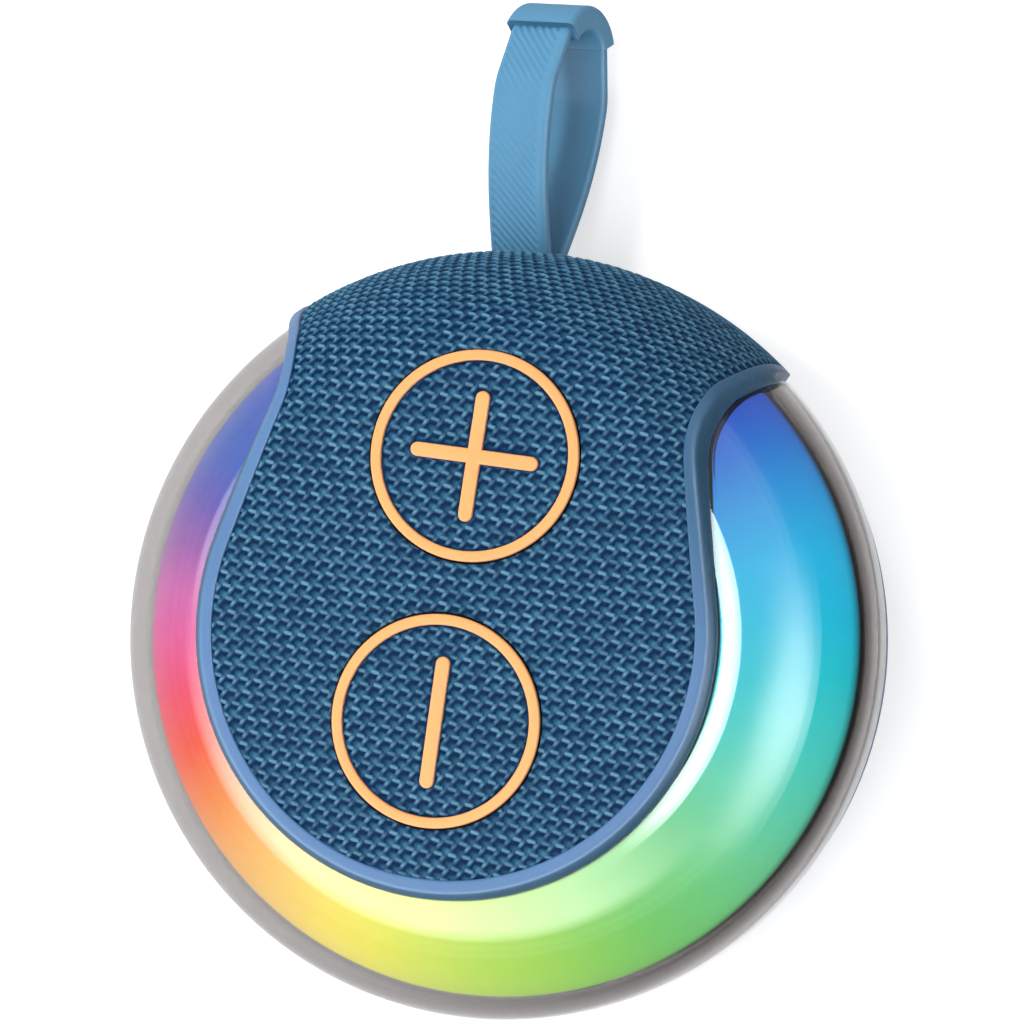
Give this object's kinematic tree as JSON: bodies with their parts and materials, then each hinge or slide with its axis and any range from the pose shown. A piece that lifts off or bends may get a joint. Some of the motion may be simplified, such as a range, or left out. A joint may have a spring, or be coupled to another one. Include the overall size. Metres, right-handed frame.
{
  "type": "portable wireless speaker",
  "caption": "Round pocket Bluetooth speaker: domed clear light ring, fabric front with plus and minus buttons, rubber keys and port flap, silicone strap loop.",
  "frame": {"origin": "on the round body's axis, in the plane of the rubber foot pad that it lies on", "axes": "+Z out of the fabric front, along the body's axis; +Y towards the strap; +X to the right seen from the front"},
  "size_m": [0.1, 0.1358, 0.0512],
  "materials": {
    "blue_abs": "satin moulded ABS",
    "knit": "woven polyester over the grille",
    "black_abs": "fine spark-eroded ABS",
    "orange_tpu": "raised soft-touch print",
    "clear_pc": "polished clear polycarbonate",
    "milky_pc": "milky light-spreading polycarbonate",
    "smoke_abs": "warm grey moulded ABS",
    "circuit": "solder-masked laminate",
    "white_flex": "white flexible circuit",
    "led": "clear cast light chip",
    "chip": "moulded component",
    "steel": "zinc-plated steel",
    "black_steel": "black-coated steel basket",
    "ferrite": "dark sintered magnet",
    "paper_cone": "pressed paper cone",
    "copper": "enamelled copper winding",
    "spider_cloth": "resin-dipped cloth",
    "black_rubber": "matt rubber",
    "navy_abs": "satin moulded ABS",
    "navy_silicone": "matt silicone",
    "sky_silicone": "matt silicone",
    "cell_wrap": "laminated pouch cell",
    "foam": "closed-cell foam"
  },
  "bodies": {
    "housing": {"front_frame": "blue_abs", "fabric_cover": "knit", "grille_plate": "black_abs", "button_board": "circuit", "button_switches": "chip", "button_board_screws": "steel", "light_cover": "clear_pc", "light_diffuser": "milky_pc", "led_strip": "white_flex", "led_chips": "led", "chassis": "smoke_abs", "driver_basket": "black_steel", "driver_magnet": "ferrite", "driver_yoke": "steel", "driver_top_plate": "steel", "driver_surround": "black_rubber", "driver_spider": "spider_cloth", "driver_screws": "steel", "rear_housing": "navy_abs", "housing_seal": "black_rubber", "housing_screws": "steel", "foot_pad": "black_rubber", "main_board": "circuit", "bluetooth_module": "steel", "board_chips": "chip", "usb_socket": "steel", "key_switches": "chip", "board_screws": "steel", "battery": "cell_wrap", "battery_pad": "foam", "strap_pin": "steel"},
    "plus_key": {"plus_mark": "orange_tpu", "plus_fabric": "knit", "plus_button": "black_abs"},
    "minus_key": {"minus_mark": "orange_tpu", "minus_fabric": "knit", "minus_button": "black_abs"},
    "cone": {"driver_cone": "paper_cone", "driver_coil": "copper"},
    "power": {"power_key": "navy_silicone"},
    "light": {"light_key": "navy_silicone"},
    "play": {"play_key": "navy_silicone"},
    "flap": {"port_flap": "navy_silicone"},
    "strap_loop": {"strap": "sky_silicone"}
  },
  "joints": [
    {"name": "plus_press", "type": "slide", "parent": "housing", "child": "plus_key", "axis": [0, 0, -1], "range_m": [0, 0.00035], "stiffness_N_per_m": 4000},
    {"name": "minus_press", "type": "slide", "parent": "housing", "child": "minus_key", "axis": [0, 0, -1], "range_m": [0, 0.00035], "stiffness_N_per_m": 4000},
    {"name": "cone_stroke", "type": "slide", "parent": "housing", "child": "cone", "axis": [0, 0, 1], "range_m": [-0.001, 0.001], "stiffness_N_per_m": 2500, "deforming": ["driver_surround", "driver_spider"]},
    {"name": "power_press", "type": "slide", "parent": "housing", "child": "power", "axis": [0.4226, -0.9063, 0], "range_m": [0, 0.0004], "stiffness_N_per_m": 3000},
    {"name": "light_press", "type": "slide", "parent": "housing", "child": "light", "axis": [0.6157, -0.788, 0], "range_m": [0, 0.0004], "stiffness_N_per_m": 3000},
    {"name": "play_press", "type": "slide", "parent": "housing", "child": "play", "axis": [0.7771, -0.6293, 0], "range_m": [0, 0.0004], "stiffness_N_per_m": 3000},
    {"name": "flap_turn", "type": "hinge", "parent": "housing", "child": "flap", "pos_m": [-0.0454, 0.01484, 0.0097], "axis": [0, 0, -1], "range_deg": [0, 95], "stiffness_Nm_per_rad": 0.002},
    {"name": "strap_swing", "type": "hinge", "parent": "housing", "child": "strap_loop", "pos_m": [-0.0065, 0.0455, 0.0103], "axis": [1, 0, 0], "range_deg": [-3, 12], "stiffness_Nm_per_rad": 0.06}
  ]
}
